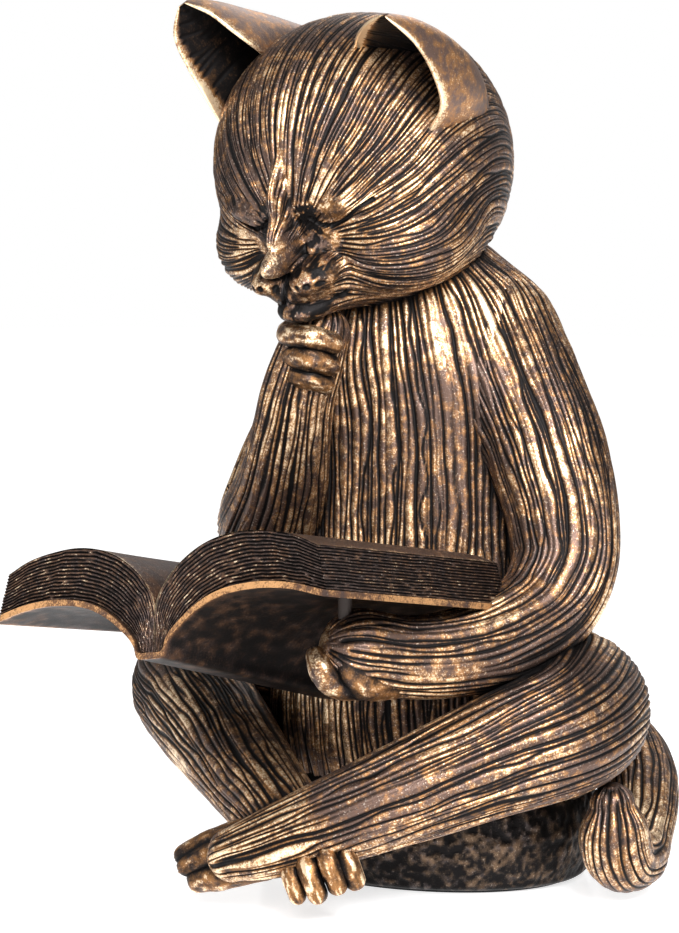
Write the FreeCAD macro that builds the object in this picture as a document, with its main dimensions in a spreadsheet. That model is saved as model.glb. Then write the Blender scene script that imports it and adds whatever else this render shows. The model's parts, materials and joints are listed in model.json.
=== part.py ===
# Seated cat reading a book: a cast figurine as a parametric FreeCAD document, in millimetres.
# Frame: +Z up, the cat faces -Y and its left side is +X. The origin is the middle of the rest face.
import FreeCAD, Part
import math
import os

from FreeCAD import Placement, Rotation, Vector

os.makedirs("parts", exist_ok=True)
doc = FreeCAD.newDocument("ReadingCat")
sheet = doc.addObject("Spreadsheet::Sheet", "Sizes")

# Driving dimensions. An angle is in degrees, everything else in millimetres.
sizes = {
    "felt_thickness": 1,
    "felt_half_width": 37,
    "felt_half_depth": 29,
    "seat_half_width": 40,
    "seat_half_depth": 32,
    "seat_belly_half_width": 42,
    "seat_belly_half_depth": 36,
    "seat_height": 23,
    "vent_radius": 6,
    "vent_depth": 14,
    "wall": 5,
    "cavity_top": 116,
    "skull_radius": 34,
    "skull_y": -19,
    "skull_z": 167,
    "face_turn": 7,
    "muzzle_radius": 14,
    "muzzle_reach": 24,
    "jaw_radius": 13.5,
    "cheek_radius": 18,
    "ear_root_radius": 14,
    "ear_tip_radius": 1.5,
    "ear_scoop_offset": 5,
    "book_y": -90,
    "book_z": 59.5,
    "book_length": 66,
    "book_pitch": 11,
    "book_roll": 8,
    "book_lean": 18,
    "cover_thickness": 1.8,
    "cover_arch_radius": 37.6,
    "cover_arch_x": 31.5,
    "cover_arch_z": -25,
    "cover_half_width": 47.5,
    "spine_half_width": 4.5,
    "page_arch_radius": 37.2,
    "page_arch_x": 28.2,
    "page_arch_z": -11.7,
    "page_half_width": 46,
    "gutter": 0.15,
    "pin_radius": 1.5,
    "pin_clearance": 0.1,
}

# Centre line of each length of limb, from the body outwards: x, y, z and the radius of the flesh there.
lengths = {
    "left_upper_arm": [(29, 0, 119, 14), (37, -3, 97, 12.5), (42, -5, 73, 12.5)],
    "left_forearm": [(43, -9, 69, 11), (42, -24, 60, 10.5), (34, -45, 57.5, 8.5), (25, -59, 60.5, 8.5)],
    "right_upper_arm": [(-28, 2, 116, 13), (-26, -10, 97, 13), (-24, -22, 80, 13.5)],
    "right_forearm": [(-22, -27, 80, 11.5), (-13, -34, 92, 10.5), (-5, -38, 108, 9), (1, -41, 124.5, 9)],
    "left_thigh": [(28, 8, 37, 22), (44, 0, 40, 19), (55, -10, 42, 16.5)],
    "left_shin": [(58, -14, 42, 13), (47, -31, 36, 13), (33, -47, 28, 11.5), (16, -61, 20, 9),
                  (0, -69, 11.5, 7.5)],
    "right_thigh": [(-28, 8, 37, 22), (-46, 0, 41, 19), (-57, -9, 42, 16.5)],
    "right_shin": [(-59, -13, 42, 13), (-44, -26, 36, 13.5), (-22, -38, 29, 12), (0, -52, 22, 10),
                   (20, -61, 14, 8)],
    "tail": [(14, 34, 24, 12), (26, 46, 26, 10.5), (39, 44, 24, 9), (48, 32, 16, 8.5),
             (55, 18, 10, 8.5), (58, 5, 9.5, 8.5), (58, -5, 18, 6.5)],
}

# Horizontal slices of the body: y of the centre, z, half width and half depth.
torso_slices = [(5, 24, 40, 34), (7, 40, 41, 37), (9, 62, 42, 39), (9, 84, 43, 39), (7, 103, 40, 36),
                (4, 120, 35, 31), (1, 133, 30, 28), (-3, 143, 21, 20)]

for row, (alias, value) in enumerate(sizes.items(), start=1):
    sheet.set(f"A{row}", alias)
    sheet.set(f"B{row}", str(value))
    sheet.setAlias(f"B{row}", alias)


def tabulate(group, rows, columns, first_row):
    """Writes one row of cells for each station and names every cell group_number_column."""
    for number, values in enumerate(rows):
        for letter, column, value in zip("DEFG", columns, values):
            cell = f"{letter}{first_row + number}"
            sheet.set(cell, str(value))
            sheet.setAlias(cell, f"{group}_{number}_{column}")
    return first_row + len(rows) + 1


next_row = 1
for length_name, stations in lengths.items():
    next_row = tabulate(length_name, stations, ("across", "along", "height", "girth"), next_row)
next_row = tabulate("torso", torso_slices, ("along", "height", "width", "depth"), next_row)
doc.recompute()


def size(alias):
    return float(getattr(sheet, alias))


def bind(obj, **expressions):
    for prop, expression in expressions.items():
        obj.setExpression(prop, expression)
    return obj


def boolean(kind, name, pieces):
    """Part::Cut takes the first piece as its base and the second as its tool."""
    obj = doc.addObject("Part::" + kind, name)
    if kind == "Cut":
        obj.Base, obj.Tool = pieces
    else:
        obj.Shapes = pieces
    return obj


def cut(name, base, *tools):
    """Cuts base by each tool in turn."""
    for number, tool in enumerate(tools):
        last = number == len(tools) - 1
        base = boolean("Cut", name if last else f"{name}_stage_{number}", [base, tool])
    return base


def loft(name, sections):
    obj = doc.addObject("Part::Loft", name)
    obj.Sections = sections
    obj.Solid = True
    return obj


def slice_ellipse(name, centre, width, depth):
    """A horizontal ellipse whose half width along X is the larger one."""
    obj = doc.addObject("Part::Ellipse", name)
    obj.Placement = Placement(centre, Rotation())
    return bind(obj, MajorRadius=width, MinorRadius=depth)


# A length of limb ends in a dome: distance past its last station and radius there, as parts of the girth.
dome = [(math.sin(angle), math.cos(angle)) for angle in (math.radians(40), math.radians(70), math.radians(84))]


def limb_length(name, stations):
    """Lofts circles along the centre line, each square to it, with a dome at both ends."""
    points = [Vector(*values[:3]) for values in stations]
    headings = []
    for number in range(len(points)):
        before = points[max(number - 1, 0)]
        after = points[min(number + 1, len(points) - 1)]
        headings.append((after - before).normalize())
    rings = []
    for reach, girth in reversed(dome):
        rings.append((points[0] - headings[0] * reach * stations[0][3], headings[0], 0, girth))
    for number, point in enumerate(points):
        rings.append((point, headings[number], number, 1))
    for reach, girth in dome:
        rings.append((points[-1] + headings[-1] * reach * stations[-1][3], headings[-1], len(points) - 1, girth))
    circles = []
    across = headings[0].cross(Vector(0.3, 1, 0.2))
    for number, (centre, heading, station, girth) in enumerate(rings):
        across = (across - heading * across.dot(heading)).normalize()
        circle = doc.addObject("Part::Circle", f"{name}_ring_{number}")
        circle.Placement = Placement(centre, Rotation(across, heading.cross(across), heading, "ZXY"))
        circles.append(bind(circle, Radius=f"Sizes.{name}_{station}_girth * {girth:.4f}"))
    return loft(f"{name}_flesh", circles)


def ball(name, centre, radius):
    obj = doc.addObject("Part::Sphere", name)
    obj.Placement = Placement(centre, Rotation())
    return bind(obj, Radius=radius)


# Head: a skull, two cheeks and a muzzle that looks down at the page.
face_turn = Rotation(Vector(0, 0, 1), size("face_turn"))
skull_centre = Vector(0, size("skull_y"), size("skull_z"))


def on_head(left, forward, up):
    """A point given from the skull's centre along the face's own left and forward directions."""
    return skull_centre + face_turn.multVec(Vector(left, -forward, up))


skull = ball("skull", skull_centre, "Sizes.skull_radius")
muzzle = ball("muzzle", on_head(0, size("muzzle_reach"), -16), "Sizes.muzzle_radius")
jaw = ball("jaw", on_head(0, 19.5, -21.5), "Sizes.jaw_radius")
cheeks = [ball(f"cheek_{side}", on_head(way * 12, 14, -11), "Sizes.cheek_radius")
          for side, way in (("left", 1), ("right", -1))]
head_solid = boolean("MultiFuse", "head_solid", [skull, muzzle, jaw] + cheeks)


def ear(name, way):
    """A cupped ear: a tapering cone with a second cone scooped from its front."""
    root = on_head(way * 20, 12, 14)
    axis = on_head(way * 30, 29.5, 39) - root
    facing = face_turn.multVec(Vector(way * 0.5, -1, -0.15))
    facing = (facing - axis * (facing.dot(axis) / axis.dot(axis))).normalize()
    turn = Rotation(Vector(0, 0, 1), axis)
    wall = doc.addObject("Part::Cone", f"{name}_wall")
    wall.Placement = Placement(root, turn)
    bind(wall, Radius1="Sizes.ear_root_radius", Radius2="Sizes.ear_tip_radius", Height=f"{axis.Length:.3f}")
    scoop = doc.addObject("Part::Cone", f"{name}_scoop")
    scoop.Placement = Placement(root + facing * size("ear_scoop_offset"), turn)
    bind(scoop, Radius1="Sizes.ear_root_radius - 1", Radius2="Sizes.ear_tip_radius", Height=f"{axis.Length:.3f}")
    return cut(name, wall, scoop, head_solid)


left_ear = ear("left_ear", 1)
right_ear = ear("right_ear", -1)

# Seat: the low plinth hidden under the folded legs, with the vent of the hollow casting.
seat_middle = Vector(0, 0, size("felt_thickness"))
seat_solid = loft("seat_solid", [
    slice_ellipse("seat_foot", seat_middle, "Sizes.seat_half_width", "Sizes.seat_half_depth"),
    slice_ellipse("seat_waist", seat_middle + Vector(0, 3, size("seat_height") * 0.5),
                  "Sizes.seat_belly_half_width", "Sizes.seat_belly_half_depth"),
    slice_ellipse("seat_top", seat_middle + Vector(0, torso_slices[0][0], size("seat_height")),
                  "Sizes.torso_0_width", "Sizes.torso_0_depth"),
])
vent = doc.addObject("Part::Cylinder", "vent")
vent.Placement = Placement(seat_middle, Rotation())
bind(vent, Radius="Sizes.vent_radius", Height="Sizes.seat_height")
seat_base = cut("seat_base", seat_solid, vent)

vent_plug = doc.addObject("Part::Cylinder", "vent_plug")
vent_plug.Placement = vent.Placement
bind(vent_plug, Radius="Sizes.vent_radius - 0.1", Height="Sizes.vent_depth")

felt_outline = slice_ellipse("felt_outline", Vector(), "Sizes.felt_half_width", "Sizes.felt_half_depth")
base_felt = doc.addObject("Part::Extrusion", "base_felt")
base_felt.Base = felt_outline
base_felt.DirMode = "Custom"
base_felt.Dir = Vector(0, 0, 1)
base_felt.Solid = True
bind(base_felt, LengthFwd="Sizes.felt_thickness")

# Torso: an open-bottomed shell that stands on the seat.
torso_solid = loft("torso_solid", [
    slice_ellipse(f"torso_slice_{number}", Vector(0, y, z), f"Sizes.torso_{number}_width", f"Sizes.torso_{number}_depth")
    for number, (y, z, width, depth) in enumerate(torso_slices)
])
cavity_slices = [(number, y, z) for number, (y, z, width, depth) in enumerate(torso_slices)
                 if z < size("cavity_top") - size("wall")]
torso_cavity = loft("torso_cavity", [
    slice_ellipse(f"cavity_slice_{number}", Vector(0, y, z),
                  f"Sizes.torso_{number}_width - Sizes.wall", f"Sizes.torso_{number}_depth - Sizes.wall")
    for number, y, z in cavity_slices
] + [slice_ellipse("cavity_roof", Vector(0, 4, size("cavity_top")), "20", "16")])

flesh = {name: limb_length(name, stations) for name, stations in lengths.items()}
for side in ("left", "right"):
    for limb, upper, lower in (("arm", "upper_arm", "forearm"), ("leg", "thigh", "shin")):
        halves = [flesh[f"{side}_{upper}"], flesh[f"{side}_{lower}"]]
        flesh[f"{side}_{limb}"] = boolean("MultiFuse", f"{side}_{limb}_solid", halves)

# Book: every piece is placed in the book's own frame, X across the spine, Y from front to back.
book_frame = Placement(Vector(0, size("book_y"), size("book_z")),
                       Rotation(Vector(1, 0, 0), -size("book_pitch"))
                       * Rotation(Vector(0, 1, 0), -size("book_roll")))
along_spine = Rotation(Vector(1, 0, 0), -90)


def book_drum(name, way, x, z, radius):
    """A cylinder parallel to the spine, longer than the book at both ends."""
    obj = doc.addObject("Part::Cylinder", name)
    obj.Placement = book_frame * Placement(Vector(way * x, -30, z), along_spine)
    return bind(obj, Radius=radius, Height="Sizes.book_length + 60")


def book_slab(name, low_x, high_x, low_z, high_z, lean=0):
    """A box across the book, whose end faces lean forward at the top."""
    obj = doc.addObject("Part::Box", name)
    obj.Placement = (book_frame * Placement(Vector(), Rotation(Vector(1, 0, 0), lean))
                     * Placement(Vector(low_x, 0, low_z), Rotation()))
    obj.Length = high_x - low_x
    obj.Height = high_z - low_z
    return bind(obj, Width=f"Sizes.book_length * cos({lean})")


def half_of_book(side, way):
    """Returns one cover board and one block of pages, before they meet the spine and the body."""
    arch = (size("cover_arch_x"), size("cover_arch_z"))
    board_low = book_drum(f"{side}_board_low", way, *arch, "Sizes.cover_arch_radius")
    board_high = book_drum(f"{side}_board_high", way, *arch, "Sizes.cover_arch_radius + Sizes.cover_thickness")
    page_top = book_drum(f"{side}_page_top", way, size("page_arch_x"), size("page_arch_z"), "Sizes.page_arch_radius")
    limits = {}
    for kind, inner, outer in (("board", size("spine_half_width") - 1, size("cover_half_width")),
                               ("page", size("gutter"), size("page_half_width"))):
        low, high = sorted((way * inner, way * outer))
        limits[kind] = book_slab(f"{side}_{kind}_limits", low, high, -30, 60, size("book_lean"))
    board_ring = cut(f"{side}_board_ring", board_high, board_low)
    board = boolean("MultiCommon", f"{side}_board", [board_ring, limits["board"]])
    page_ring = cut(f"{side}_page_ring", page_top, board_high)
    pages = boolean("MultiCommon", f"{side}_pages", [page_ring, limits["page"]])
    return board, pages


left_board, left_pages = half_of_book("left", 1)
right_board, right_pages = half_of_book("right", -1)
spine = book_slab("spine", -size("spine_half_width"), size("spine_half_width"), -1.8, 1.4)
cover_solid = boolean("MultiFuse", "cover_solid", [left_board, right_board, spine])
book_solid = boolean("MultiFuse", "book_solid", [cover_solid, left_pages, right_pages])

# Steel locating pins: middle, direction and length. Each is sunk in the two pieces that it joins.
pin_places = {
    "neck_pin": (Vector(0, -8, 136), Vector(0, 0, 1), 24),
    "left_shoulder_pin": (Vector(37, -2, 103), Vector(1, 0, 0), 12),
    "right_shoulder_pin": (Vector(-33, -3, 106), Vector(-1, 0, 0), 10),
    "left_hip_pin": (Vector(41, 2, 40), Vector(1, 0, 0), 16),
    "right_hip_pin": (Vector(-41, 2, 40), Vector(-1, 0, 0), 16),
    "tail_pin": (Vector(19, 38, 29), Vector(0.5, 1, 0.1), 12),
    "book_pin": (Vector(27, -58, 66), Vector(0, 0, 1), 14),
    "chin_pin": (Vector(1, -39, 131), Vector(0, 0, 1), 16),
}
pins, pin_holes = {}, {}
for name, (middle, direction, length) in pin_places.items():
    direction.normalize()
    place = Placement(middle - direction * length / 2, Rotation(Vector(0, 0, 1), direction))
    pins[name] = bind(doc.addObject("Part::Cylinder", name), Radius="Sizes.pin_radius")
    pin_holes[name] = bind(doc.addObject("Part::Cylinder", name + "_hole"),
                           Radius="Sizes.pin_radius + Sizes.pin_clearance")
    for cylinder in (pins[name], pin_holes[name]):
        cylinder.Height = length
        cylinder.Placement = place


def holes(*names):
    return [pin_holes[name] for name in names]


# Final pieces. Each is trimmed by the pieces that it is set on, so that neighbours meet face to face.
head = cut("head", head_solid, *holes("neck_pin", "chin_pin"))
torso_shell = cut("torso_shell", torso_solid, torso_cavity, head_solid,
                  *holes("neck_pin", "left_shoulder_pin", "right_shoulder_pin", "left_hip_pin",
                         "right_hip_pin", "tail_pin"))
right_leg = cut("right_leg", flesh["right_leg"], torso_solid, seat_solid, book_solid, *holes("right_hip_pin"))
left_leg = cut("left_leg", flesh["left_leg"], torso_solid, seat_solid, flesh["right_leg"], *holes("left_hip_pin"))
book_cover = cut("book_cover", cover_solid, torso_solid, *holes("book_pin"))
left_page_block = cut("left_page_block", left_pages, torso_solid, cover_solid, *holes("book_pin"))
right_page_block = cut("right_page_block", right_pages, torso_solid, cover_solid)
left_arm = cut("left_arm", flesh["left_arm"], torso_solid, head_solid, book_solid, flesh["left_leg"],
               *holes("left_shoulder_pin", "book_pin"))
right_arm = cut("right_arm", flesh["right_arm"], torso_solid, head_solid, book_solid,
                *holes("right_shoulder_pin", "chin_pin"))
tail = cut("tail", flesh["tail"], torso_solid, seat_solid, flesh["left_leg"], *holes("tail_pin"))

nodes = [seat_base, base_felt, vent_plug, torso_shell, head, left_ear, right_ear, left_arm, right_arm,
         left_leg, right_leg, tail, book_cover, left_page_block, right_page_block] + list(pins.values())

doc.recompute()
for obj in doc.Objects:
    if "Invalid" in obj.State or "Error" in obj.State:
        raise RuntimeError(f"{obj.Name} failed: {obj.State}")
for node in nodes:
    node.Label = node.Name
    if node.Shape.isNull() or not node.Shape.isValid():
        raise RuntimeError(f"{node.Label} has no valid shape")

for node in nodes:
    node.Shape.exportStep(f"parts/{node.Label}.step")
    box = node.Shape.BoundBox
    print(f"{node.Label:20} {len(node.Shape.Solids)} solids {node.Shape.Volume / 1000:8.2f} cm3  "
          f"x {box.XMin:6.1f} {box.XMax:6.1f}  y {box.YMin:6.1f} {box.YMax:6.1f}  z {box.ZMin:6.1f} {box.ZMax:6.1f}")
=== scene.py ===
import json
import math
import bpy
import numpy as np
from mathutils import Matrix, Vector

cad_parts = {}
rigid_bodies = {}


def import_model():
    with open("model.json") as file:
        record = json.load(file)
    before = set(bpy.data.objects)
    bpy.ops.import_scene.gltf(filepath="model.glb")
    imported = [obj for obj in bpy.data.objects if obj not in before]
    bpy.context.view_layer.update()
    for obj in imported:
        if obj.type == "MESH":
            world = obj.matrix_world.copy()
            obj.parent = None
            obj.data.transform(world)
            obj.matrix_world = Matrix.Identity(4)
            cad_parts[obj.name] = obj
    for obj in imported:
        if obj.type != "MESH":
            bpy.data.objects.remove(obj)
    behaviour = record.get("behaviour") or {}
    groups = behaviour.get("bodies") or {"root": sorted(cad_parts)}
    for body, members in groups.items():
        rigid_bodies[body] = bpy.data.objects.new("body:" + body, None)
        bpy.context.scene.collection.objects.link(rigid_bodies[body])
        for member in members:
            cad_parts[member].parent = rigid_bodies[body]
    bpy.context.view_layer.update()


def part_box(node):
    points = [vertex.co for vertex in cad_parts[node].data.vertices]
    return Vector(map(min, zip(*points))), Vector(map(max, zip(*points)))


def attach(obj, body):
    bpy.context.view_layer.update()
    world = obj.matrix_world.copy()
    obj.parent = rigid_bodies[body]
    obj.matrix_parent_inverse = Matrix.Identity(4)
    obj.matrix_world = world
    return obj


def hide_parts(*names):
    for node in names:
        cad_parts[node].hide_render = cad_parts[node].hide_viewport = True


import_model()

mm = 0.001  # everything below is sculpted in millimetres, in the frame's own axes
print("frame loaded")


def smooth(low, high, value):
    t = np.clip((value - low) / (high - low), 0, 1)
    return t * t * (3 - 2 * t)


def softNoise(table, x, y):  # smooth random values, repeating at the table's edges
    rows, columns = table.shape
    x0, y0 = np.floor(x).astype(int), np.floor(y).astype(int)
    fx, fy = smooth(0, 1, x - x0), smooth(0, 1, y - y0)
    near = table[x0 % rows, y0 % columns] * (1 - fy) + table[x0 % rows, (y0 + 1) % columns] * fy
    far = table[(x0 + 1) % rows, y0 % columns] * (1 - fy) + table[(x0 + 1) % rows, (y0 + 1) % columns] * fy
    return near * (1 - fx) + far * fx


def throughPoints(stations, places):  # a smooth curve through rows of numbers, read at places from 0 to 1
    rows = np.asarray(stations, float)
    steps = np.linalg.norm(np.diff(rows[:, :3], axis=0), axis=1)
    t = np.concatenate([[0], np.cumsum(steps)])
    slopes = np.gradient(rows, t, axis=0)
    x = np.clip(places, 0, 1) * t[-1]
    k = np.clip(np.searchsorted(t, x, side="right") - 1, 0, len(t) - 2)
    span = (t[k + 1] - t[k])[:, None]
    s = ((x - t[k])[:, None]) / span
    return ((2 * s**3 - 3 * s**2 + 1) * rows[k] + (s**3 - 2 * s**2 + s) * span * slopes[k]
            + (3 * s**2 - 2 * s**3) * rows[k + 1] + (s**3 - s**2) * span * slopes[k + 1])


def unit(v):
    return v / np.maximum(np.linalg.norm(v, axis=-1, keepdims=True), 1e-9)


def gridNormals(points):  # outward normals of a skin whose columns go round it
    around = np.roll(points, -1, 1) - np.roll(points, 1, 1)
    along = np.gradient(points, axis=0)
    normals = unit(np.cross(around, along))
    middle = points.mean(axis=1, keepdims=True)
    if np.sum(normals * (points - middle)) < 0:
        normals = -normals
    return normals


def skinObject(name, points, relief, bare=None):  # rings of points become a skin closed by two poles
    rings, columns, _ = points.shape
    verts = np.concatenate([points.reshape(-1, 3), points[0].mean(0)[None], points[-1].mean(0)[None]])
    index = np.arange(rings * columns).reshape(rings, columns)
    nextColumn = np.roll(index, -1, 1)
    quads = np.stack([index[:-1], nextColumn[:-1], nextColumn[1:], index[1:]], -1).reshape(-1, 4)
    first = np.stack([nextColumn[0], index[0], np.full(columns, rings * columns)], -1)
    last = np.stack([index[-1], nextColumn[-1], np.full(columns, rings * columns + 1)], -1)
    a, b, c, d = (verts[quads[:, i]] for i in range(4))
    volume = np.sum(np.cross(a, b) * c) + np.sum(np.cross(a, c) * d)
    if volume < 0:
        quads, first, last = quads[:, ::-1], first[:, ::-1], last[:, ::-1]
    mesh = bpy.data.meshes.new(name)
    mesh.vertices.add(len(verts))
    mesh.vertices.foreach_set("co", (verts * mm).astype(np.float32).ravel())
    loops = np.concatenate([quads.ravel(), first.ravel(), last.ravel()])
    starts = np.concatenate([np.arange(len(quads)) * 4, len(quads) * 4 + np.arange(2 * columns) * 3])
    mesh.loops.add(len(loops))
    mesh.loops.foreach_set("vertex_index", loops.astype(np.int32))
    mesh.polygons.add(len(starts))
    mesh.polygons.foreach_set("loop_start", starts.astype(np.int32))
    mesh.update(calc_edges=True)
    mesh.shade_smooth()
    writeValues(mesh, "relief", relief)
    writeValues(mesh, "bare", np.zeros_like(relief) if bare is None else bare)
    piece = bpy.data.objects.new(name, mesh)
    bpy.context.collection.objects.link(piece)
    return piece


def writeValues(mesh, name, values):  # one number for each vertex; a pole takes the mean of its ring
    if values.ndim == 2:
        values = np.concatenate([values.ravel(), [values[0].mean(), values[-1].mean()]])
    mesh.attributes.new(name, "FLOAT", "POINT").data.foreach_set("value", values.astype(np.float32))


def furGrooves(points, fur):
    # carved lines run from ring to ring; where the skin widens, new lines start between the old ones
    rng = np.random.default_rng(fur["seed"])
    rings, columns, _ = points.shape
    around = np.arange(columns)[None, :] / columns
    stretch = np.linalg.norm(np.roll(points, -1, 1) - points, axis=-1) * columns + 1e-6
    steps = np.linalg.norm(np.diff(points, axis=0), axis=-1).mean(1)
    along = np.concatenate([[0], np.cumsum(steps)])[:, None]
    sweep = softNoise(rng.random((60, 11)), along / fur["waveLength"], around * 11) - 0.5
    ripple = softNoise(rng.random((90, 47)), along / 11 + 0 * around, around * 47) - 0.5
    wave = 2 * fur["wave"] * sweep + 0.8 * ripple
    groove, valley = np.zeros_like(stretch), np.zeros_like(stretch)
    for level in range(6):
        count = fur["firstLines"] * 2**level
        position = around * count + wave / stretch * count
        line = np.round(position) if level == 0 else 2 * np.round((position - 1) / 2) + 1
        index = line.astype(int) % count
        own = rng.random((5, count))
        wobble = softNoise(rng.random((count, 60)), index, along / 7) - 0.5
        distance = np.abs(position - line + 0.3 * wobble + 0.26 * (own[3][index] - 0.5)) * stretch / count
        room = stretch / count / fur["pitch"]
        present = smooth(0.62, 0.80, room + 0.22 * (own[0][index] - 0.5))
        stroke = softNoise(rng.random((count, 60)), index, along / fur["stroke"])
        strength = 0.25 + 0.75 * smooth(0.04, 0.26, stroke)
        width = fur["width"] * (0.75 + 0.5 * own[1][index]) * (0.7 + 0.6 * stroke)
        depth = present * strength * (0.6 + 0.4 * own[2][index])
        groove = np.maximum(groove, depth * np.exp(-((distance / width) ** 2)))
        valley = np.maximum(valley, depth * np.exp(-((distance / width / 2.1) ** 2)))
    return groove, 0.45 * groove + 0.55 * valley


def nearLimb(points, line):  # distance from points to a string of spheres
    best = np.full(points.shape[:-1], 1e9)
    for x, y, z, radius in line:
        best = np.minimum(best, np.sqrt(((points - (x, y, z)) ** 2).sum(-1)) - radius)
    return best


def fillet(points, normals, distances, reach):  # swells a skin where it runs into its neighbour
    h = np.clip(1 - np.abs(distances) / reach, 0, 1)
    return points + normals * (h * h * reach / 4)[..., None]


def paintedCornerShade(distances):  # painted shade, darkening the skin in the corner against a neighbour
    return 0.75 * np.exp(-np.clip(distances + 0.4, 0, None) / 1.3) * (distances < 8)


def belowShoulder(points):  # 1 on the arm and 0 up where it melts into the shoulder
    return 1 - smooth(100, 116, points[..., 2])


def armBlend(points):  # how far an arm's skin flows into the body's
    return 1.2 + 9 * smooth(92, 118, points[..., 2])


# skeletons: x, y, z and the radius of the flesh, from the body outwards
limbs = {
    "leftArm": [(24, 2, 127, 12), (31, 0, 116, 13.5), (40, -2, 100, 14), (45, -3, 86, 13),
                (47, -5, 76, 12.2), (46.5, -11, 67, 11.6), (43.5, -21.5, 61, 11), (38.5, -35, 58, 9.8),
                (33, -46, 58, 9.2), (28.5, -54.5, 60, 9.2)],
    "rightArm": [(-25, 2, 121, 12), (-27.5, -3, 108, 12.8), (-28, -12, 93, 13.6), (-25.5, -21, 82, 13.8),
                 (-20, -28, 84, 12.6), (-12, -33.5, 93, 10.6), (-6.5, -37, 105, 9.2),
                 (-3, -38.5, 115, 8.4), (0, -38, 123, 7.8), (1.5, -37, 128, 7)],
    "leftLeg": [(28, 8, 38, 22), (40, 2, 41, 20), (51, -7, 43, 17.5), (55, -17, 41, 15.5),
                (48, -31, 36, 13.6), (34, -47, 28, 11.3), (20, -58, 21, 9.4), (9, -64.5, 16, 7.6),
                (2, -66, 13.5, 6.2)],
    "rightLeg": [(-28, 8, 38, 22), (-42, 2, 42, 19.5), (-54, -7, 43, 17), (-58, -14, 41, 15),
                 (-46, -24, 36.5, 14), (-30, -34, 32, 12.8), (-10, -46, 26, 11), (6, -54, 20, 9.6),
                 (16, -59, 15.5, 8)],
    "tail": [(12, 32, 33, 9), (25, 37, 31, 10), (36.5, 36, 27, 9), (45, 30, 22.5, 8.2),
             (52, 21, 17.5, 7.5), (56, 13, 12.3, 7.3), (59.5, 5.5, 9.6, 7.5), (60.5, -1.5, 10.8, 8),
             (61, -4.5, 14.5, 8.2), (61.3, -5.5, 19, 7.4), (61.3, -6, 23, 5.2)],
}
spheres = {name: throughPoints(stations, np.linspace(0, 1, 48)) for name, stations in limbs.items()}

# fingers and toes: short strings of x, y, z and radius
digits = {
    "leftArm": [[(29, -55, 52, 3), (26.5, -61.5, 53.5, 3.1), (25.5, -64, 56.5, 2.9),
                 (23.5, -63.5, 59, 2.3)],
                [(33, -50, 53, 4), (31, -56.5, 54, 4.2), (30, -59, 57, 4), (27.5, -58.5, 60, 3.2)]],
    "rightArm": [[(-4, -40, 127.6, 3.2), (-0.5, -43.6, 127.4, 2.9), (6, -44.6, 127, 2.8),
                  (8.6, -40.5, 125.6, 2.6)],
                 [(-4, -40, 122.8, 3.2), (0, -43.4, 122.6, 2.9), (6, -44.4, 122, 2.8),
                  (8, -40.5, 120.8, 2.5)],
                 [(-4, -40, 118.4, 3), (-0.6, -42.8, 118.4, 2.8), (4.6, -43.6, 117.8, 2.6),
                  (6, -40, 116.6, 2.4)]],
    "leftLeg": [[(4, -60, 18, 4), (-3, -62.5, 16, 3.4), (-8.5, -65, 13.6, 3), (-12.5, -66.6, 11.6, 2.4)],
                [(5, -63, 14.5, 4), (-2, -65.5, 13.4, 3.2), (-7, -67, 11.4, 2.9),
                 (-10.4, -67.8, 9.6, 2.5)],
                [(8, -62, 12, 4), (1, -64.5, 10, 4), (-4, -66, 8, 3.6), (-7.6, -66.8, 6.8, 3)]],
    "rightLeg": [[(12, -58, 15, 3.5), (15.5, -62.6, 13.6, 2.6), (18.6, -65.8, 10.6, 2.2),
                  (20, -65.6, 6.8, 2)],
                 [(15, -57, 17, 4), (19.4, -62.2, 15.4, 2.7), (23, -65, 12, 2.5),
                  (24.6, -64.4, 7.6, 2.3)],
                 [(18, -56, 18, 4), (23, -60.6, 16.6, 2.7), (27, -63, 14, 2.5), (28, -61.8, 9.6, 2.3)],
                 [(21, -54, 18, 3.5), (26, -58, 16.8, 2.6), (29.6, -59.8, 14, 2.4),
                  (30.6, -58.8, 10.4, 2.2)]],
}

# slices of the body: z, y of the centre, half width, half depth
torso = {
    "slices": [(153, -5, 10, 10), (149, -3, 17, 17), (143, -1, 23.5, 22.5), (135, 1.5, 29.5, 27.5),
               (123, 4, 34.5, 32), (111, 6.5, 36.5, 34), (100, 8.5, 37, 35.5), (88, 9.5, 37, 36.5),
               (73, 9.5, 37, 37), (64, 9, 37, 37), (57, 8.5, 37.5, 36.5), (45, 7, 39.5, 37.5),
               (32, 6, 40, 36), (23, 5, 39, 33)],
    "columns": 1080,
    "rings": 88,
    "fur": {"seed": 11, "firstLines": 34, "pitch": 1.3, "wave": 1.6, "waveLength": 30, "stroke": 34,
            "width": 0.34, "depth": 0.75},
}


def torsoSlice(z):
    rows = np.array(torso["slices"][::-1], float)
    return [np.interp(z, rows[:, 0], rows[:, k]) for k in (1, 2, 3)]


def nearTorso(points):
    centre, width, depth = torsoSlice(points[..., 2])
    q = np.sqrt((points[..., 0] / width) ** 2 + ((points[..., 1] - centre) / depth) ** 2)
    top = torso["slices"][0][0]
    return (q - 1) * np.minimum(width, depth) + np.maximum(points[..., 2] - top, 0)


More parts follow.
